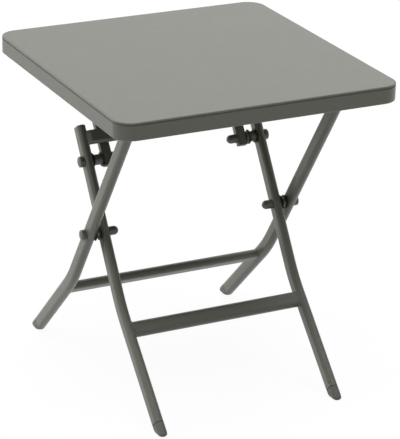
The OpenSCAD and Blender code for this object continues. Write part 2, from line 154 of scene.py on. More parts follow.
class LegSizes(bpy.types.PropertyGroup):
    tube_depth: length("Tube depth", 21, "Long side of the oval tube")
    tube_width: length("Tube width", 12.5, "Short side of the oval tube")
    rail_depth: length("Rail depth", 22, "Long side of the rails' tube")
    wall: length("Tube wall", 1.2, "Wall of the oval tube")
    outer_inset: length("Outer leg inset", 48.5, "Distance of the outer legs' middles from the top's edges")
    leg_gap: length("Leg gap", 8.5, "Gap between an outer and an inner leg")
    pivot: length("Cross pivot height", 215.825, "Height of the cross pivot above the floor")
    lean: angle("Lean", 33.5, "Lean of the upper part of each leg from upright")
    bend: angle("Bend", 12.2, "Further lean of the part below the bend")
    bend_at: length("Bend position", 106.833, "Distance of the bend's corner from the cross pivot")
    bend_radius: length("Bend radius", 210, "Radius of the bend on the tube's middle line")
    front_rail: length("Front rail", 32, "Distance of the front rail below the bend's corner")
    rear_rail: length("Rear rail", 33, "Distance of the rear rail below the bend's corner")
    weld: length("Weld leg", 2.4, "How far a weld reaches along each of the faces it joins")


class LinkSizes(bpy.types.PropertyGroup):
    pivot: length("Lower pivot", 99.083, "Distance of the links' lower pivot above the cross pivot")
    gap: length("Gap", 15.5, "Gap between an inner leg and its link")
    width: length("Width", 14, "Width of the link's tube, across the table")
    depth: length("Depth", 10, "Depth of the link's tube")
    wall: length("Wall", 1.5, "Wall of the link's tube")
    corner: length("Corner radius", 1.7, "Radius of the link's corners")
    lean: angle("Lean", 2, "Backward lean of the links from the inner legs")
    reach: length("Pivot distance", 106.404, "Distance between a link's two pivots")
    end: length("End", 9.5, "Length of the link beyond each pivot")
    collar_radius: length("Collar radius", 8, "Radius of the pressed collar round the lower pivot")
    collar_height: length("Collar height", 3, "Height of that collar")


class BarSizes(bpy.types.PropertyGroup):
    rise: length("Rise", 30, "Distance of the crossbar above the links' lower pivot")
    depth: length("Depth", 20, "Long side of the crossbar's oval tube")
    width: length("Thickness", 10, "Short side of the crossbar's oval tube")
    end: length("Leg end", 17.5, "Length of the inner legs beyond the crossbar's middle")


class BracketSizes(bpy.types.PropertyGroup):
    drop: length("Hinge drop", 20, "Distance of the top's hinge below the surface")
    leg_end: length("Leg end", 10, "Length of the outer legs beyond the top's hinge")
    plate: length("Plate", 2.5, "Thickness of the bracket plates")
    ear: length("Ear radius", 10, "Radius of a bracket round its pivot")
    foot: length("Foot length", 56, "Length of the rear brackets along the sheet")
    flange: length("Flange width", 18, "Width of the rear brackets' flange")


class FastenerSizes(bpy.types.PropertyGroup):
    bolt: length("Bolt radius", 4, "Radius of the bolts")
    head: length("Head radius", 7.5, "Radius of the bolt heads")
    head_height: length("Head height", 7, "Height of the bolt heads")
    rim: length("Rim height", 5, "Height of the heads' straight rim")
    nut_flats: length("Nut width", 13, "Width across the flats of the nuts")
    nut_height: length("Nut height", 6, "Height of the nuts")
    cap_radius: length("Cap radius", 6.2, "Radius of the cap nuts and their dome")
    cap_length: length("Cap length", 14.4, "Length of a cap nut in all")
    spacer: length("Spacer radius", 7.4, "Radius of the spacers between the tubes")
    washer: length("Washer", 1.3, "Thickness of the top hinge's washers")
    socket_flats: length("Socket width", 5, "Width across the flats of the socket in a head")
    socket_depth: length("Socket depth", 2.5, "Depth of that socket")
    side_gap: length("Side gap", 0.3, "Gap between faces that turn past each other")


class FootSizes(bpy.types.PropertyGroup):
    shoe: length("Shoe length", 16, "Visible length of a foot along the leg's middle line")
    seam: length("Seam", 0.7, "Width of the joint between a foot and its tube")
    toe_trim: length("Toe trim", 5.5, "Amount trimmed off the sharp tip of each foot")
    heel_at: length("Heel trim", 7, "Distance from the heel's corner to where its rounding leaves the floor")
    heel_radius: length("Heel radius", 17, "Radius under the heel")
    edge: length("Edge radius", 3, "Radius round the sole, across the foot")
    seam_drop: length("Seam drop", 1.2, "Distance below the seam where the heel's rounding may begin")
    plug: length("Plug", 1.5, "Thickness of the plugs that close the tube ends")


class TableColours(bpy.types.PropertyGroup):
    paint: colour("Paint", "#76776C", "Powder coat of the top and the tubes")
    bracket: colour("Bracket paint", "#6F7065", "Powder coat of the brackets under the top")
    fastener: colour("Fastener paint", "#6B6C61", "Paint over the bolts and nuts")
    plastic: colour("Plastic", "#747570", "Moulded feet and plugs")
    floor: colour("Floor", "#AEAEAA", "Studio floor")


GROUPS = {
    "tray_sizes": TraySizes, "leg_sizes": LegSizes, "link_sizes": LinkSizes, "bar_sizes": BarSizes,
    "bracket_sizes": BracketSizes, "fastener_sizes": FastenerSizes, "foot_sizes": FootSizes,
    "table_colours": TableColours,
}


# Where things are

class Places:
    """The table's pivots, frames and faces, worked out from the sizes in metres."""

    def __init__(self):
        scene = bpy.context.scene
        self.tray, self.leg, self.link = scene.tray_sizes, scene.leg_sizes, scene.link_sizes
        self.bar, self.bracket = scene.bar_sizes, scene.bracket_sizes
        self.fastener, self.foot = scene.fastener_sizes, scene.foot_sizes
        leg, link, bar, bracket = self.leg, self.link, self.bar, self.bracket
        self.outer_x = self.tray.width / 2 - leg.outer_inset
        self.inner_x = self.outer_x - leg.tube_width - leg.leg_gap
        self.inner_face = self.inner_x - leg.tube_width / 2
        self.outer_face = self.outer_x + leg.tube_width / 2
        self.link_x = self.inner_face - link.gap - link.width / 2
        # along a leg, from the cross pivot
        self.arc_start = leg.bend_at - leg.bend_radius * tan(leg.bend / 2)
        self.arc_end_drop = leg.bend_radius * tan(leg.bend / 2)
        self.foot_lean = leg.lean + leg.bend
        arc_drop = leg.bend_radius * (sin(self.foot_lean) - sin(leg.lean))
        self.lower_l = (leg.pivot - self.arc_start * cos(leg.lean) - arc_drop) / cos(self.foot_lean)
        self.seam_l = self.lower_l - self.foot.shoe
        self.foot_y = (self.arc_start * sin(leg.lean) + self.lower_l * sin(self.foot_lean)
                       + leg.bend_radius * (cos(leg.lean) - cos(self.foot_lean)))
        self.hinge_z = self.tray.height - bracket.drop
        self.hinge_at = (self.hinge_z - leg.pivot) / cos(leg.lean)
        self.hinge_y = -self.hinge_at * sin(leg.lean)
        self.bar_at = link.pivot + bar.rise
        self.inner_reach = self.bar_at + bar.end
        self.outer_reach = self.hinge_at + bracket.leg_end
        # frames on the middle of the cross pivot and of the top's hinge
        self.cross, self.hinge = move(z=leg.pivot), move(0, self.hinge_y, self.hinge_z)
        # frames: Z runs up the leg from the cross pivot, Y runs back and down across it
        self.inner = self.cross @ Matrix.Rotation(-leg.lean, 4, "X")
        self.outer = HALF_TURN @ self.inner
        # from a leg's frame to that of its part below the bend, turned about the bend's centre
        self.lower = (move(0, -leg.bend_radius, -self.arc_start) @ Matrix.Rotation(-leg.bend, 4, "X")
                      @ move(0, leg.bend_radius))
        # frames on the links' lower pivot, in line with the legs and with the links
        self.upper = self.inner @ move(z=link.pivot)
        self.link_frame = self.upper @ Matrix.Rotation(-link.lean, 4, "X")
        self.link_top = self.link_frame @ Vector((0, 0, link.reach))
        self.sheet_z = self.tray.height - self.tray.sheet
        # how far the crossbar's middle is in front of the inner legs' middle line, just clear of the links
        self.bar_off = (link.depth / 2 - (self.bar_at - bar.depth / 2 - link.pivot) * tan(link.lean)
                        + self.fastener.side_gap + bar.width / 2)
        # where the ears of a front bracket start, on the inner and on the outer side of the leg
        beside = self.fastener.washer + self.fastener.side_gap
        self.ear_near = self.outer_x - leg.tube_width / 2 - beside - bracket.plate
        self.ear_far = self.outer_face + beside
        self.gusset_x = self.link_x - link.width / 2 - self.fastener.side_gap

    def link_nut_x(self, side):
        """Where the cap nut of a link's lower pivot starts: both collars are on the right."""
        return self.gusset_x - (self.link.collar_height if side == LEFT else 0)

    def on_leg(self, name, side, z=0.0):
        """A leg's own frame, moved up along it. The outer legs' frame is turned about, and its X too."""
        if name == "inner":
            return self.inner @ move(side * self.inner_x, 0, z)
        return self.outer @ move(-side * self.outer_x, 0, z)


def move(x=0.0, y=0.0, z=0.0):
    """A frame that is moved and not turned."""
    return Matrix.Translation((x, y, z))


def facing(side, x):
    """A frame whose Z points outwards, at a distance from the middle on the named side of the table."""
    return move(side * x) @ Matrix.Rotation(side * pi / 2, 4, "Y")


# Finishes

def add_node(material, kind, inputs=None, **settings):
    """Adds one shader node, sets what it is told, and links or fills its inputs."""
    node = material.node_tree.nodes.new("ShaderNode" + kind)
    for key, value in settings.items():
        setattr(node, key, value)
    for key, value in (inputs or {}).items():
        if isinstance(value, bpy.types.NodeSocket):
            material.node_tree.links.new(value, node.inputs[key])
        else:
            node.inputs[key].default_value = value
    return node


def shade(colour_value, factor):
    """A colour made lighter or darker by a factor, with its alpha."""
    return (*[min(1.0, c * factor) for c in colour_value], 1.0)


def finish(material, colour_value, clouds, spread, gloss, rough, relief, height, ior):
    """Gives a material a clouded colour, a roughness between two values and a relief in millimetres.

    The clouds, the gloss and the relief are texture nodes. The spread is how far the clouds lighten and
    darken the colour, as a share.
    """
    tone = add_node(material, "Mix", {
        "Factor": clouds.outputs["Fac"], "A": shade(colour_value, 1 - spread),
        "B": shade(colour_value, 1 + spread)}, data_type="RGBA")
    varied = add_node(material, "MapRange", {
        "Value": gloss.outputs["Fac"], "To Min": rough[0], "To Max": rough[1]})
    bump = add_node(material, "Bump", {
        "Height": relief.outputs["Fac"], "Strength": 1.0, "Distance": height * MM})
    tree = material.node_tree
    shader = tree.nodes["Principled BSDF"]
    tree.links.new(tone.outputs["Result"], shader.inputs["Base Color"])
    tree.links.new(varied.outputs["Result"], shader.inputs["Roughness"])
    tree.links.new(bump.outputs["Normal"], shader.inputs["Normal"])
    shader.inputs["IOR"].default_value = ior


def new_material(name):
    """A new material and the object coordinates in it."""
    material = bpy.data.materials.new(name)
    material.use_nodes = True
    return material, add_node(material, "TexCoord").outputs["Object"]


def satin_powder_coat(name, colour_value, rough, peel):
    """Polyester powder coat, baked on steel: an even satin with a faint orange peel and soft clouding.

    The real peel has waves of about 1.5 mm and is a few micrometres high. At 0.7 pixels a millimetre that
    is too fine to show, so it is drawn at about 3 mm.
    """
    material, place = new_material(name)
    clouds = add_node(material, "TexNoise", {"Vector": place, "Scale": 1 / (70 * MM), "Detail": 2.0})
    fine = add_node(material, "TexNoise", {"Vector": place, "Scale": 1 / (9 * MM), "Detail": 1.0})
    waves = add_node(material, "TexNoise", {
        "Vector": place, "Scale": 1 / (3 * MM), "Detail": 1.0, "Roughness": 0.4})
    finish(material, colour_value, clouds, 0.03, fine, (rough - 0.03, rough + 0.03), waves, peel, 1.5)
    return material


def weld_bead(name, colour_value, rough):
    """The same coat over a weld: the bead's ripples show through it.

    Real ones are about 1.2 mm apart. That is too fine to show, so they are drawn 8.7 mm apart. At a scale
    of 1 a diagonal wave repeats every 2 pi / (10 sqrt(3)).
    """
    material = satin_powder_coat(name, colour_value, rough, 0.01)
    tree = material.node_tree
    bump = next(n for n in tree.nodes if n.type == "BUMP")
    place = next(n for n in tree.nodes if n.type == "TEX_COORD").outputs["Object"]
    ripples = add_node(material, "TexWave", {
        "Vector": place, "Scale": 2 * pi / (10 * sqrt(3) * 8.7 * MM), "Distortion": 2.5, "Detail": 1.0,
        "Detail Scale": 2.0}, bands_direction="DIAGONAL")
    ridge = add_node(material, "Bump", {
        "Height": ripples.outputs["Fac"], "Normal": bump.outputs["Normal"], "Strength": 0.6,
        "Distance": 0.12 * MM})
    tree.links.new(ridge.outputs["Normal"], tree.nodes["Principled BSDF"].inputs["Normal"])
    return material


def moulded_polypropylene(name, colour_value):
    """Injection-moulded feet and plugs: matt from a spark-eroded mould, a little cooler than the paint.

    The grain is 0.1 to 0.3 mm on the real one and is drawn at 1 mm, so that it shows as a matt break-up.
    """
    material, place = new_material(name)
    flow = add_node(material, "TexNoise", {"Vector": place, "Scale": 1 / (25 * MM), "Detail": 3.0})
    grain = add_node(material, "TexNoise", {"Vector": place, "Scale": 1 / (1 * MM), "Detail": 2.0})
    finish(material, colour_value, flow, 0.05, grain, (0.5, 0.66), grain, 0.03, 1.49)
    return material


MADE = {}


def finishes():
    """The table's materials by the record's slot, made on first use."""
    if "paint" not in MADE:
        colours = bpy.context.scene.table_colours
        MADE["paint"] = satin_powder_coat("satin_powder_coat", colours.paint, 0.42, 0.012)
        MADE["bracket_paint"] = satin_powder_coat("satin_powder_coat_brackets", colours.bracket, 0.46, 0.016)
        MADE["fastener"] = satin_powder_coat("satin_paint_over_zinc", colours.fastener, 0.4, 0.014)
        MADE["plastic"] = moulded_polypropylene("moulded_polypropylene", colours.plastic)
        MADE["weld"] = weld_bead("satin_powder_coat_welds", colours.paint, 0.44)
    return MADE


# Modelling by hand

def choose(piece):
    """Makes a piece the active one and the only one selected."""
    bpy.ops.object.select_all(action="DESELECT")
    bpy.context.view_layer.objects.active = piece
    piece.select_set(True)


def begin(name):
    """A new empty piece at the origin, alone in the selection and in edit mode."""
    piece = bpy.data.objects.new(name, bpy.data.meshes.new(name))
    bpy.context.scene.collection.objects.link(piece)
    choose(piece)
    bpy.ops.object.mode_set(mode="EDIT")
    return piece


def near(value, wanted, slack=0.02 * MM):
    """Whether a length is the wanted one, within a slack."""
    return abs(value - wanted) < slack


def pick(kind, test):
    """Selects the edges or faces of the piece in edit mode whose middle and element pass a test."""
    bpy.ops.mesh.select_mode(type=kind)
    bpy.ops.mesh.select_all(action="DESELECT")
    piece = bpy.context.object
    mesh = bmesh.from_edit_mesh(piece.data)
    found = 0
    for item in mesh.edges if kind == "EDGE" else mesh.faces:
        if test(sum((v.co for v in item.verts), Vector()) / len(item.verts), item):
            item.select_set(True)
            found += 1
    mesh.select_flush_mode()
    bmesh.update_edit_mesh(piece.data)
    if not found:
        raise RuntimeError(f"nothing of {piece.name} is where it should be")


def edges_at(z, where=lambda mid, edge: True):
    """Selects the edges whose middle is at a height and that pass a test."""
    pick("EDGE", lambda mid, edge: near(mid.z, z) and where(mid, edge))


def faces_at(z, where=lambda mid: True):
    """Selects the level faces at a height whose middle passes a test."""
    pick("FACE", lambda mid, face: near(mid.z, z) and abs(face.normal.z) > 0.9 and where(mid))


def runs_across(mid, edge):
    """Whether an edge runs along X."""
    way = edge.verts[1].co - edge.verts[0].co
    return abs(way.x) > 0.999 * way.length


def rectangle(width, depth, z=0.0):
    """Adds a flat rectangle, still selected, in the piece's XY plane."""
    bpy.ops.mesh.primitive_plane_add(size=1, location=(0, 0, z))
    bpy.ops.transform.resize(value=(width, depth, 1), center_override=(0, 0, z))


def round_rectangle(width, depth, radius, z=0.0, segments=5):
    """Adds a flat rectangle with round corners, still selected."""
    rectangle(width, depth, z)
    bpy.ops.mesh.bevel(offset=radius, segments=segments, profile=0.5, affect="VERTICES", clamp_overlap=False)


def oval(width, depth, z=0.0):
    """Adds a flat-sided oval, still selected: a rectangle whose corners are rounded until they meet."""
    round_rectangle(width, depth, min(width, depth) / 2, z, 12)
    bpy.ops.mesh.remove_doubles(threshold=0.01 * MM)


def open_up():
    """Leaves only the outline of the flat shape just added, selected."""
    bpy.ops.mesh.delete(type="ONLY_FACE")
    pick("EDGE", lambda mid, edge: True)


def extrude(z):
    """Draws the selected face or edges out along Z."""
    bpy.ops.mesh.extrude_region_move(TRANSFORM_OT_translate={"value": (0, 0, z)})


def extrude_edges(x=0.0, y=0.0, z=0.0):
    """Draws the selected edges out by a step."""
    bpy.ops.mesh.extrude_edges_move(TRANSFORM_OT_translate={"value": (x, y, z)})


def round_edges(radius, segments=3, clamp=True):
    """Rounds the selected edges, by no more than there is room for unless clamp is False."""
    bpy.ops.mesh.bevel(offset=radius, segments=segments, profile=0.5, affect="EDGES", clamp_overlap=clamp)


def cut(place, normal):
    """Cuts the whole piece along a plane and keeps both sides."""
    bpy.ops.mesh.select_all(action="SELECT")
    bpy.ops.mesh.bisect(plane_co=place, plane_no=normal)


def ring(x=0.0, z=0.0, wide=1.0, deep=1.0):
    """Draws the selected loop out along Z as a new loop, moved across and made wider and deeper."""
    extrude_edges(x=x, z=z)
    mesh = bmesh.from_edit_mesh(bpy.context.object.data)
    points = [v.co for v in mesh.verts if v.select]
    bpy.ops.transform.resize(value=(wide, deep, 1), center_override=sum(points, Vector()) / len(points))


def tilt(angle, middle):
    """Tilts the selection about the X axis through a point, from Y towards Z."""
    bpy.ops.transform.rotate(value=-angle, orient_axis="X", center_override=middle)


def dome(radius, level, rings):
    """Draws the selected round face in and up, by insets to each ring's radius and height."""
    for smaller, higher in rings:
        bpy.ops.mesh.inset(thickness=radius - smaller)
        bpy.ops.transform.translate(value=(0, 0, higher - level))
        radius, level = smaller, higher


def disc(radius, height, sides=48):
    """Adds a disc or prism from Z = 0 upwards, still selected."""
    bpy.ops.mesh.primitive_cylinder_add(vertices=sides, radius=radius, depth=height,
                                        location=(0, 0, height / 2), end_fill_type="NGON")


def face_outwards():
    """Merges doubles and turns every face outwards."""
    bpy.ops.mesh.select_all(action="SELECT")
    bpy.ops.mesh.remove_doubles(threshold=0.005 * MM)
    bpy.ops.mesh.normals_make_consistent(inside=False)


def wall(piece, thickness):
    """Gives an open shell its wall, drawn inwards."""
    thick = piece.modifiers.new("wall", "SOLIDIFY")
    thick.thickness = thickness
    thick.offset = -1
    thick.use_even_offset = True
    bpy.ops.object.modifier_apply(modifier=thick.name)


def shade_by_angle(piece):
    """Shades smooth across shallow edges, and keeps the large flat faces flat beside a small rounding."""
    bpy.ops.object.shade_smooth_by_angle(angle=SMOOTH_ANGLE)
    even = piece.modifiers.new("even", "WEIGHTED_NORMAL")
    even.keep_sharp = True
    bpy.ops.object.modifier_apply(modifier=even.name)


def end(piece, thickness=0):
    """Leaves edit mode, with the faces outwards and shaded, and gives an open shell its wall."""
    face_outwards()
    bpy.ops.object.mode_set(mode="OBJECT")
    if thickness:
        wall(piece, thickness)
    shade_by_angle(piece)
    return piece


def two_finishes(piece, on_weld):
    """Gives a piece the paint, and the welds' finish to the faces that pass a test."""
    piece.data.materials.append(finishes()["paint"])
    piece.data.materials.append(finishes()["weld"])
    bpy.ops.object.mode_set(mode="EDIT")
    pick("FACE", on_weld)
    piece.active_material_index = 1
    bpy.ops.object.material_slot_assign()
    bpy.ops.object.mode_set(mode="OBJECT")
    return piece


def copy(piece, name):
    """A copy of a piece with its own mesh."""
    twin = piece.copy()
    twin.data = piece.data.copy()
    twin.name = twin.data.name = name
    bpy.context.scene.collection.objects.link(twin)
    return twin


def discard(*pieces):
    """Removes the pieces that only served to be copied."""
    for piece in pieces:
        bpy.data.objects.remove(piece)


def settle(piece, place, slot, body, *nodes):
    """Puts a finished piece in its place, in its mesh, with its finish and the body it rides on."""
    choose(piece)
    piece.matrix_world = place
    bpy.ops.object.transform_apply(location=True, rotation=True, scale=True)
    if not piece.data.materials:
        piece.data.materials.append(finishes()[slot])
    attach(piece, body)
    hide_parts(*nodes)
    return piece


# Operators

class TABLE_OT_tray(bpy.types.Operator):
    """Models the tray top: one pressed sheet with round corners, a rolled fold and a turned-in hem"""
    bl_idname = "folding_table.tray"
    bl_label = "Tray top"

    def execute(self, context):
        at = Places()
        tray = at.tray
        foot = tray.height - tray.skirt
        piece = begin("tray_top")
        round_rectangle(tray.width, tray.depth, tray.corner, tray.height, 16)
        extrude(-tray.skirt)
        faces_at(foot)
        bpy.ops.mesh.inset(thickness=tray.hem)
        bpy.ops.mesh.delete(type="FACE")
        edges_at(tray.height)
        round_edges(tray.fold, 6)
        self.crease(tray)
        pick("EDGE", lambda mid, edge: near(mid.z, foot)
             and any(abs(face.normal.z) < 0.5 for face in edge.link_faces))
        round_edges(HEM_EDGE, 4)
        settle(end(piece, tray.sheet), Matrix(), "paint", "top", "table_top")
        return {"FINISHED"}

    def crease(self, tray):
        """Presses in the fine crease that runs round the edge, just below the fold."""
        upper = tray.height - tray.crease_drop
        lower = upper - tray.crease
        face_outwards()
        for level in (upper, lower):
            cut((0, 0, level), (0, 0, 1))
        pick("FACE", lambda mid, face: lower < mid.z < upper)
        bpy.ops.mesh.extrude_region_shrink_fatten(TRANSFORM_OT_shrink_fatten={"value": -tray.crease_depth})


class TABLE_OT_legs(bpy.types.Operator):
    """Models the four bent oval legs"""
    bl_idname = "folding_table.legs"
    bl_label = "Legs"

    def execute(self, context):
        at = Places()
        for name, reach in (("inner", at.inner_reach), ("outer", at.outer_reach)):
            first = self.tube(at, f"{name}_leg_tube_left", reach)
            second = copy(first, f"{name}_leg_tube_right")
            for piece, side in ((first, LEFT), (second, RIGHT)):
                settle(piece, at.on_leg(name, side), "paint", f"{name}_frame", f"{name}_leg_{SIDES[side]}")
        return {"FINISHED"}

    def tube(self, at, name, reach):
        """A leg's tube: straight, round the bend by a spin, and straight on to the foot's seam."""
        leg = at.leg
        piece = begin(name)
        oval(leg.tube_width, leg.tube_depth, reach)
        open_up()
        extrude_edges(z=-(reach + at.arc_start))
        bpy.ops.mesh.spin(steps=24, angle=leg.bend, axis=(1, 0, 0),
                          center=(0, -leg.bend_radius, -at.arc_start))
        extrude_edges(y=-sin(leg.bend) * at.seam_l, z=-cos(leg.bend) * at.seam_l)
        return end(piece, leg.wall)


class TABLE_OT_rails(bpy.types.Operator):
    """Models the front and rear rails, with the welds that join them to the legs"""
    bl_idname = "folding_table.rails"
    bl_label = "Rails"

    def execute(self, context):
        at = Places()
        for name, half, drop, frame_at in (
                ("front_rail", at.inner_face, at.leg.front_rail, at.inner),
                ("rear_rail", at.outer_x - at.leg.tube_width / 2, at.leg.rear_rail, at.outer)):
            piece = self.rail(at, f"{name}_tube", half)
            place = frame_at @ at.lower @ move(z=at.arc_end_drop - drop) @ ACROSS
            settle(piece, place, "paint", "inner_frame" if name == "front_rail" else "outer_frame", name)
        return {"FINISHED"}

    def rail(self, at, name, half):
        """A rail's tube, whose ends swell into a hollow weld and run on a little into the legs."""
        leg = at.leg
        piece = begin(name)
        oval(leg.tube_width, leg.rail_depth)
        open_up()
        for way in (1, -1):
            extrude_edges(z=way * (half - leg.weld))
            width, depth = leg.tube_width, leg.rail_depth
            for step in range(1, WELD_RINGS + 1):
                share = 1 - sqrt(1 - (step / WELD_RINGS) ** 2)
                reach = leg.weld * share
                wide, deep = leg.tube_width + WELD_SIDE * reach, leg.rail_depth + 2 * reach
                ring(z=way * leg.weld / WELD_RINGS, wide=wide / width, deep=deep / depth)
                width, depth = wide, deep
            ring(z=way * RAIL_RUN_IN)
            edges_at(0)
        return two_finishes(end(piece), lambda mid, face: abs(mid.z) > half - 1.1 * leg.weld)


class TABLE_OT_crossbar(bpy.types.Operator):
    """Models the bar across the front of the inner legs, whose ends are flattened onto them"""
    bl_idname = "folding_table.crossbar"
    bl_label = "Crossbar"

    def execute(self, context):
        at = Places()
        bar = at.bar
        piece = begin("crossbar_tube")
        oval(bar.width, bar.depth)
        open_up()
        for way in (1, -1):
            extrude_edges(z=way * (at.inner_face - BAR_SHORT))
            thick = bar.width
            for share in FLATTENED:
                thinner = share * bar.width
                ring(x=(thick - thinner) / 2, z=way * BAR_RING, wide=thinner / thick)
                thick = thinner
            bpy.ops.mesh.edge_face_add()
            edges_at(0)
        two_finishes(end(piece), lambda mid, face: abs(mid.z) > at.inner_face)
        place = at.inner @ move(0, -at.bar_off, at.bar_at) @ ACROSS
        settle(piece, place, "paint", "inner_frame", "crossbar")
        return {"FINISHED"}


class TABLE_OT_feet(bpy.types.Operator):
    """Models the four plastic feet, cut level on the floor and rounded under heel and toe"""
    bl_idname = "folding_table.feet"
    bl_label = "Feet"

    def execute(self, context):
        at = Places()
        first = self.shoe(at)
        for side, hand in SIDES.items():
            for name, foot in (("inner", "front_foot"), ("outer", "rear_foot")):
                settle(copy(first, f"{foot}_shoe_{hand}"), at.on_leg(name, side) @ at.lower, "plastic",
                       f"{name}_frame", f"{foot}_{hand}")
        discard(first)
        return {"FINISHED"}

    def shoe(self, at):
        """One foot in the frame of a leg's lower part: loops that turn from the tube's end onto the floor."""
        leg, foot = at.leg, at.foot
        to_foot = (at.inner @ at.lower).inverted()
        top = -at.seam_l - foot.seam
        half_sole = leg.tube_depth / 2 / cos(at.foot_lean)
        back_lean = pi / 2 - at.foot_lean
        toe_radius = foot.toe_trim / (1 / tan(back_lean / 2) - 1)
        toe = Vector((0, toe_radius / tan(back_lean / 2) - at.foot_y - half_sole, toe_radius))
        heel = Vector((0, half_sole - foot.heel_at - at.foot_y, foot.heel_radius))
        above = max(0, (to_foot @ heel).z - top + foot.seam_drop)
        heel_start = at.foot_lean - asin(above / foot.heel_radius)
        piece = begin("foot_shoe")
        oval(leg.tube_width, leg.tube_depth, top)
        lean, middle, deep, wide = 0, Vector((0, 0, top)), leg.tube_depth, leg.tube_width
        for loop in range(SOLE_LOOPS + 1):
            left = 1 - loop / SOLE_LOOPS
            front, back = left * (back_lean - pi), left * heel_start
            ends = [to_foot @ (centre + radius * Vector((0, sin(aside), -cos(aside))))
                    for centre, radius, aside in ((toe, toe_radius, front), (heel, foot.heel_radius, back))]
            side = min(foot.edge, (toe.z * (1 - cos(front)) + heel.z * (1 - cos(back))) / 2)
            new_wide = leg.tube_width - 2 * (foot.edge - sqrt(side * (2 * foot.edge - side)))
            new_middle, chord = (ends[0] + ends[1]) / 2, ends[1] - ends[0]
            new_lean, new_deep = atan2(chord.z, chord.y), chord.length
            extrude_edges(*(new_middle - middle))
            tilt(-lean, new_middle)
            bpy.ops.transform.resize(value=(new_wide / wide, new_deep / deep, 1), center_override=new_middle)
            tilt(new_lean, new_middle)
            lean, middle, deep, wide = new_lean, new_middle, new_deep, new_wide
        bpy.ops.mesh.edge_face_add()
        edges_at(top)
        round_edges(SHOE_EDGE)
        faces_at(top)
        bpy.ops.mesh.inset(thickness=leg.wall)
        extrude(foot.seam + SHOE_STEM)
        return end(piece)


class TABLE_OT_plugs(bpy.types.Operator):
    """Models the plastic plugs that close the legs' and the links' ends"""
    bl_idname = "folding_table.plugs"
    bl_label = "End plugs"

    def execute(self, context):
        at = Places()
        leg, link, plug = at.leg, at.link, at.foot.plug
        oval_plug = self.cap(lambda: oval(leg.tube_width, leg.tube_depth), leg.wall, plug)
        square_plug = self.cap(lambda: round_rectangle(link.width, link.depth, link.corner), link.wall, plug)
        for side, name in SIDES.items():
            for first, title, place, body, node in (
                    (oval_plug, f"inner_leg_plug_{name}", at.on_leg("inner", side, at.inner_reach),
                     "inner_frame", "inner_leg_plugs"),
                    (oval_plug, f"outer_leg_plug_{name}", at.on_leg("outer", side, at.outer_reach),
                     "outer_frame", "outer_leg_plugs"),
                    (square_plug, f"link_plug_upper_{name}",
                     at.link_frame @ move(side * at.link_x, 0, link.reach + link.end),
                     f"link_{name}", f"link_plugs_{name}"),
                    (square_plug, f"link_plug_lower_{name}",
                     at.link_frame @ move(side * at.link_x, 0, -link.end) @ OVER,
                     f"link_{name}", f"link_plugs_{name}")):
                settle(copy(first, title), place, "plastic", body, node)
        discard(oval_plug, square_plug)
        return {"FINISHED"}

    def cap(self, outline, tube_wall, height):
        """A low cushion-shaped cap on an outline, with a stem below it."""
        piece = begin("end_plug")
        outline()
        extrude(height)
        edges_at(height)
        round_edges(PLUG_ROUND * height, 4)
        faces_at(0)
        bpy.ops.mesh.inset(thickness=tube_wall + PLUG_PLAY)
        extrude(-PLUG_STEM)
        return end(piece)


class TABLE_OT_links(bpy.types.Operator):
    """Models the two links: rectangular tubes with a collar round the lower pivot"""
    bl_idname = "folding_table.links"
    bl_label = "Links"

    def execute(self, context):
        at = Places()
        link = at.link
        tube = begin("link_tube")
        round_rectangle(link.width, link.depth, link.corner, -link.end)
        open_up()
        extrude_edges(z=link.reach + 2 * link.end)
        end(tube, link.wall)
        collar = begin("link_collar")
        disc(link.collar_radius, link.collar_height)
        edges_at(link.collar_height)
        round_edges(COLLAR_EDGE)
        end(collar)
        for side, name in SIDES.items():
            place = at.link_frame @ move(side * at.link_x)
            settle(copy(tube, f"link_tube_{name}"), place, "paint", f"link_{name}", f"link_{name}")
            on_face = place @ facing(RIGHT, link.width / 2)
            settle(copy(collar, f"link_collar_ring_{name}"), on_face, "paint", f"link_{name}",
                   f"link_collar_{name}")
        discard(tube, collar)
        return {"FINISHED"}


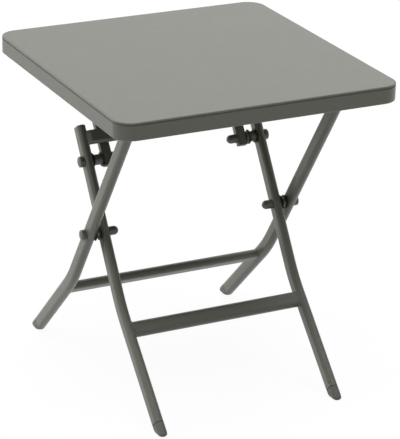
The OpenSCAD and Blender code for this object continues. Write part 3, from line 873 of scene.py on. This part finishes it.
class TABLE_OT_brackets(bpy.types.Operator):
    """Models the folded forks of the top's hinge and the gussets that carry the links"""
    bl_idname = "folding_table.brackets"
    bl_label = "Brackets"

    def execute(self, context):
        at = Places()
        fork, gusset = self.fork(at), self.gusset(at)
        for side, name in SIDES.items():
            turned = Matrix() if side == RIGHT else HALF_TURN
            middle = (at.ear_near + at.ear_far + at.bracket.plate) / 2
            place = move(side * middle, at.hinge_y, at.sheet_z) @ turned
            settle(copy(fork, f"hinge_fork_{name}"), place, "bracket_paint", "top", f"front_bracket_{name}")
            place = (move(side * at.gusset_x, at.link_top.y, at.sheet_z) @ turned
                     @ move(-at.bracket.flange / 2))
            settle(copy(gusset, f"link_gusset_{name}"), place, "bracket_paint", "top", f"rear_bracket_{name}")
        discard(fork, gusset)
        return {"FINISHED"}

    def fork(self, at):
        """A channel folded from plate: a web under the sheet and an ear on each side of the leg."""
        bracket = at.bracket
        half = (at.ear_far + bracket.plate - at.ear_near) / 2
        drop = at.sheet_z - at.hinge_z + bracket.ear
        piece = begin("hinge_fork")
        rectangle(2 * half, 2 * bracket.ear)
        extrude(-bracket.plate)
        for way in (1, -1):
            cut((way * (half - bracket.plate), 0, 0), (1, 0, 0))
        faces_at(-bracket.plate, lambda mid: abs(mid.x) > half - bracket.plate)
        extrude(bracket.plate - drop)
        return self.round_off(piece, bracket, -drop, lambda mid, edge: near(abs(mid.x), half))

    def gusset(self, at):
        """An angle folded from plate: a flange under the sheet and a leg that narrows to the link's pivot."""
        bracket = at.bracket
        drop = at.sheet_z - at.link_top.z
        piece = begin("link_gusset")
        rectangle(bracket.flange, bracket.foot)
        extrude(-bracket.plate)
        edge_x = bracket.flange / 2 - bracket.plate
        cut((edge_x, 0, 0), (1, 0, 0))
        faces_at(-bracket.plate, lambda mid: mid.x > edge_x)
        extrude(bracket.plate - drop)
        bpy.ops.transform.resize(value=(1, 2 * bracket.ear / bracket.foot, 1),
                                 center_override=(edge_x + bracket.plate / 2, 0, -drop))
        extrude(-bracket.ear)
        return self.round_off(piece, bracket, -drop - bracket.ear,
                              lambda mid, edge: near(mid.x, bracket.flange / 2))

    def round_off(self, piece, bracket, foot, fold):
        """Rounds the ears at the plate's foot and its folds, and breaks the cut edges."""
        edges_at(foot, runs_across)
        round_edges(bracket.ear, 16, clamp=False)
        face_outwards()
        edges_at(0, fold)
        round_edges(FOLD_ROUND * bracket.plate, 4)
        pick("EDGE", lambda mid, edge: len(edge.link_faces) == 2 and edge.calc_face_angle() > CUT_ANGLE)
        round_edges(CUT_EDGE, 2)
        return end(piece)


class TABLE_OT_bolts(bpy.types.Operator):
    """Models the bolts and screws: smooth heads on the pivots, hexagon sockets under the top"""
    bl_idname = "folding_table.bolts"
    bl_label = "Bolts"

    def execute(self, context):
        at = Places()
        fastener = at.fastener
        cross_tip = at.inner_face - fastener.side_gap - fastener.nut_height
        head_x = at.inner_x + at.leg.tube_width / 2
        ear_x = at.ear_far + at.bracket.plate
        for side, name in SIDES.items():
            for title, shank, driven, place, body, node in (
                    (f"cross_bolt_{name}", at.outer_face - cross_tip, False,
                     at.cross @ facing(side, at.outer_face), "outer_frame", "cross_bolts"),
                    (f"link_bolt_{name}", head_x - at.link_nut_x(side) + fastener.nut_height, False,
                     at.upper @ facing(side, head_x), "inner_frame", "link_bolts"),
                    (f"hinge_bolt_{name}", ear_x - at.ear_near + fastener.nut_height, True,
                     at.hinge @ facing(side, ear_x), "top", "hinge_bolts"),
                    (f"link_screw_{name}", at.bracket.plate, True,
                     move(*at.link_top) @ facing(side, at.gusset_x - at.bracket.plate) @ OVER,
                     "top", "link_screws")):
                settle(self.bolt(at, title, shank, driven), place, "fastener", body, node)
        return {"FINISHED"}

    def bolt(self, at, name, shank, driven):
        """A bolt along -Z: a disc domed by insets, a bridged hexagon socket if it is driven, and a shank."""
        fastener = at.fastener
        head, rim, rise = fastener.head, fastener.rim, fastener.head_height - fastener.rim
        socket = fastener.socket_flats / 2 / cos(pi / 6)
        flat = socket + SOCKET_RIM if driven else HEAD_FLAT
        piece = begin(name)
        disc(head, rim)
        faces_at(rim)
        radii = [head * cos(radians(step)) for step in HEAD_STEPS]
        radii = [radius for radius in radii if radius > flat + SLACK] + [flat]
        rings = [(radius, rim + rise * sqrt(1 - (radius / head) ** 2)) for radius in radii]
        dome(head, rim, rings)
        level = rings[-1][1]
        if driven:
            bpy.ops.mesh.delete(type="ONLY_FACE")
            bpy.ops.mesh.primitive_circle_add(vertices=6, radius=socket, location=(0, 0, level - SOCKET_SINK))
            pick("EDGE", lambda mid, edge: mid.z > level - SLACK and len(edge.link_faces) < 2)
            bpy.ops.mesh.bridge_edge_loops()
            pick("EDGE", lambda mid, edge: len(edge.link_faces) == 1)
            extrude_edges(z=-fastener.socket_depth)
            bpy.ops.mesh.edge_face_add()
        else:
            bpy.ops.mesh.poke()
        edges_at(0, lambda mid, edge: near(mid.xy.length, head, SLACK))
        round_edges(TURNED_EDGE, 2)
        faces_at(0)
        bpy.ops.mesh.inset(thickness=head - TURNED_EDGE - fastener.bolt)
        extrude(-shank)
        return end(piece)


class TABLE_OT_nuts(bpy.types.Operator):
    """Models the smooth cap nuts of the pivots and the plain nuts of the top's hinge"""
    bl_idname = "folding_table.nuts"
    bl_label = "Nuts"

    def execute(self, context):
        at = Places()
        fastener = at.fastener
        cap, plain = self.cap_nut(at), self.plain_nut(at)
        for side, name in SIDES.items():
            for first, title, place, body, node in (
                    (cap, f"cross_cap_nut_{name}",
                     at.cross @ facing(side, at.inner_face - fastener.side_gap),
                     "outer_frame", "cross_cap_nuts"),
                    (cap, f"link_cap_nut_{name}", at.upper @ facing(side, at.link_nut_x(side)),
                     "inner_frame", "link_cap_nuts"),
                    (plain, f"hinge_nut_{name}", at.hinge @ facing(side, at.ear_near),
                     "top", "hinge_nuts")):
                settle(copy(first, title), place @ OVER, "fastener", body, node)
        discard(cap, plain)
        return {"FINISHED"}

    def cap_nut(self, at):
        """A bullet: a low flange, a straight body and a round dome, from Z = 0."""
        radius = at.fastener.cap_radius
        piece = begin("cap_nut")
        disc(radius + FLANGE_STEP, FLANGE_HEIGHT)
        edges_at(FLANGE_HEIGHT)
        round_edges(TURNED_EDGE, 2)
        faces_at(FLANGE_HEIGHT)
        bpy.ops.mesh.inset(thickness=FLANGE_LEDGE)
        body = at.fastener.cap_length - radius - FLANGE_HEIGHT
        extrude(body)
        rim = FLANGE_HEIGHT + body
        angles = [radians(step) for step in NUT_STEPS]
        dome(radius, rim, [(radius * cos(rise), rim + radius * sin(rise)) for rise in angles])
        bpy.ops.mesh.poke()
        return end(piece)

    def plain_nut(self, at):
        """A hexagon nut from Z = 0, its corners broken, with the bolt's end flush in it."""
        fastener = at.fastener
        radius = fastener.nut_flats / 2 / cos(pi / 6)
        piece = begin("hexagon_nut")
        disc(radius, fastener.nut_height, 6)
        pick("EDGE", lambda mid, edge: abs(mid.z - fastener.nut_height / 2) > 0.4 * fastener.nut_height)
        round_edges(NUT_EDGE, 2)
        faces_at(fastener.nut_height)
        bpy.ops.mesh.inset(thickness=DISH_INSET)
        extrude(-DISH_DEPTH)
        disc(fastener.bolt, fastener.nut_height)
        edges_at(fastener.nut_height, lambda mid, edge: near(mid.xy.length, fastener.bolt, SLACK))
        round_edges(BOLT_END_EDGE, 2)
        return end(piece)


class TABLE_OT_spacers(bpy.types.Operator):
    """Models the spacers between the tubes and the washers of the top's hinge"""
    bl_idname = "folding_table.spacers"
    bl_label = "Spacers and washers"

    def execute(self, context):
        at = Places()
        fastener, leg = at.fastener, at.leg
        gap = fastener.side_gap
        cross_from = at.inner_x + leg.tube_width / 2 + gap
        for side, name in SIDES.items():
            link_from = at.link_x + at.link.width / 2 + gap + (at.link.collar_height if side == RIGHT else 0)
            for title, height, place, slot_name, body, node in (
                    (f"cross_spacer_{name}", at.outer_x - leg.tube_width / 2 - cross_from,
                     at.cross @ facing(side, cross_from), "fastener", "outer_frame", "cross_spacers"),
                    (f"link_spacer_{name}", at.inner_face - link_from, at.upper @ facing(side, link_from),
                     "fastener", "inner_frame", "link_spacers"),
                    (f"hinge_washer_inner_{name}", fastener.washer,
                     at.hinge @ facing(side, at.ear_near + at.bracket.plate), "plastic", "top",
                     "hinge_washers"),
                    (f"hinge_washer_outer_{name}", fastener.washer,
                     at.hinge @ facing(side, at.outer_face + gap), "plastic", "top", "hinge_washers")):
                settle(self.sleeve(at, title, height), place, slot_name, body, node)
        return {"FINISHED"}

    def sleeve(self, at, name, height):
        """A short sleeve from Z = 0 with broken edges, and a ring round the bolt in each end."""
        fastener = at.fastener
        piece = begin(name)
        disc(fastener.spacer, height)
        pick("EDGE", lambda mid, edge: near(mid.z, 0) or near(mid.z, height))
        round_edges(TURNED_EDGE, 2)
        pick("FACE", lambda mid, face: abs(face.normal.z) > 0.9)
        bpy.ops.mesh.inset(thickness=fastener.spacer - TURNED_EDGE - fastener.bolt, use_individual=True)
        return end(piece)


class TABLE_OT_cad_finishes(bpy.types.Operator):
    """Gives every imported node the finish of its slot, shown or not"""
    bl_idname = "folding_table.cad_finishes"
    bl_label = "Finish the packed nodes"

    def execute(self, context):
        slots = {row["node"]: row["material_slot"] for row in frame["record"]["subparts"]}
        for name, node in frame["nodes"].items():
            node.data.materials.clear()
            node.data.materials.append(finishes()[slots[name]])
        return {"FINISHED"}


class TABLE_OT_stage(bpy.types.Operator):
    """Sets up the pale floor, the soft studio light and the camera"""
    bl_idname = "folding_table.stage"
    bl_label = "Set the stage"

    def execute(self, context):
        scene = context.scene
        scene.view_settings.view_transform = "Standard"
        self.floor(scene)
        self.light(scene)
        self.camera(scene)
        return {"FINISHED"}

    def floor(self, scene):
        """A pale floor that looks white to the camera and keeps the table's shadow."""
        bpy.ops.object.select_all(action="DESELECT")
        bpy.ops.mesh.primitive_plane_add(size=FLOOR_SIZE, location=(0, 0, 0))
        floor = bpy.context.object
        floor.name = "studio_floor"
        material = bpy.data.materials.new("matt_studio_floor")
        material.use_nodes = True
        tree = material.node_tree
        shader = tree.nodes["Principled BSDF"]
        shader.inputs["Base Color"].default_value = (*scene.table_colours.floor, 1)
        shader.inputs["Roughness"].default_value = 1.0
        shader.inputs["Specular IOR Level"].default_value = 0.0
        rays = add_node(material, "LightPath")
        seen = add_node(material, "Math", {
            0: rays.outputs["Is Camera Ray"], 1: rays.outputs["Is Transmission Ray"]}, operation="MAXIMUM")
        pale = add_node(material, "Emission", {"Color": WHITE, "Strength": FLOOR_SEEN})
        matt = add_node(material, "BsdfDiffuse", {"Color": FLOOR_MATT})
        white = add_node(material, "AddShader", {0: pale.outputs[0], 1: matt.outputs[0]})
        gloss_white = add_node(material, "Emission", {"Color": WHITE, "Strength": FLOOR_MIRRORED})
        mirrored = add_node(material, "MixShader", {
            0: rays.outputs["Is Glossy Ray"], 1: shader.outputs[0], 2: gloss_white.outputs[0]})
        both = add_node(material, "MixShader", {
            0: seen.outputs[0], 1: mirrored.outputs[0], 2: white.outputs[0]})
        tree.links.new(both.outputs[0], tree.nodes["Material Output"].inputs["Surface"])
        floor.data.materials.append(material)

    def light(self, scene):
        """Soft lights from all round and from above, in a room that gloss alone sees as white."""
        for name, (strength, spread, azimuth, height) in LIGHTS.items():
            data = bpy.data.lights.new(name, "SUN")
            data.energy = strength
            data.angle = radians(spread)
            lamp = bpy.data.objects.new(name, data)
            scene.collection.objects.link(lamp)
            height, azimuth = radians(height), radians(azimuth)
            towards = Vector((cos(height) * cos(azimuth), cos(height) * sin(azimuth), sin(height)))
            lamp.rotation_euler = towards.to_track_quat("Z", "Y").to_euler()
        world = bpy.data.worlds.new("studio")
        scene.world = world
        world.use_nodes = True
        rays = add_node(world, "LightPath")
        seen = add_node(world, "Math", {
            0: rays.outputs["Is Camera Ray"], 1: rays.outputs["Is Glossy Ray"]}, operation="MAXIMUM")
        back = world.node_tree.nodes["Background"]
        back.inputs["Color"].default_value = WHITE
        world.node_tree.links.new(seen.outputs[0], back.inputs["Strength"])

    def camera(self, scene):
        """The photograph's view, from the front left and a little above, with a long lens."""
        data = bpy.data.cameras.new("photo_camera")
        camera = bpy.data.objects.new("photo_camera", data)
        scene.collection.objects.link(camera)
        scene.camera = camera
        turned, raised, rolled = radians(VIEW_TURNED), radians(VIEW_RAISED), radians(VIEW_ROLLED)
        back = Vector((sin(turned) * cos(raised), -cos(turned) * cos(raised), sin(raised)))
        level = Vector((cos(turned), sin(turned), 0))
        up = back.cross(level)
        right = cos(rolled) * level + sin(rolled) * up
        up = back.cross(right)
        pose = Matrix((right, up, back)).transposed().to_4x4()
        pose.translation = VIEW_AIM + back * VIEW_DISTANCE
        camera.matrix_world = pose
        data.lens = VIEW_LENS * data.sensor_width
        data.clip_start, data.clip_end = 0.1, 100


class TABLE_PT_panel(bpy.types.Panel):
    """Lists the table's pieces, sizes and colours"""
    bl_idname = "TABLE_PT_panel"
    bl_label = "Folding side table"
    bl_space_type = "VIEW_3D"
    bl_region_type = "UI"
    bl_category = "Folding table"

    def draw(self, context):
        for operator in OPERATORS:
            self.layout.operator(operator.bl_idname)
        for name in GROUPS:
            box = self.layout.box()
            box.label(text=name.replace("_", " ").capitalize())
            group = getattr(context.scene, name)
            for key in group.__annotations__:
                box.prop(group, key)


OPERATORS = [
    TABLE_OT_cad_finishes, TABLE_OT_tray, TABLE_OT_legs, TABLE_OT_rails, TABLE_OT_crossbar, TABLE_OT_feet,
    TABLE_OT_plugs, TABLE_OT_links, TABLE_OT_brackets, TABLE_OT_bolts, TABLE_OT_nuts, TABLE_OT_spacers,
    TABLE_OT_stage,
]


def register():
    for group in (*GROUPS.values(), *OPERATORS, TABLE_PT_panel):
        bpy.utils.register_class(group)
    for name, group in GROUPS.items():
        setattr(bpy.types.Scene, name, bpy.props.PointerProperty(type=group))


def unregister():
    for name in GROUPS:
        delattr(bpy.types.Scene, name)
    for group in reversed((*GROUPS.values(), *OPERATORS, TABLE_PT_panel)):
        bpy.utils.unregister_class(group)


def main():
    """Builds the table and its stage."""
    register()
    for operator in OPERATORS:
        group, name = operator.bl_idname.split(".")
        getattr(getattr(bpy.ops, group), name)()


if __name__ == "__main__":
    main()
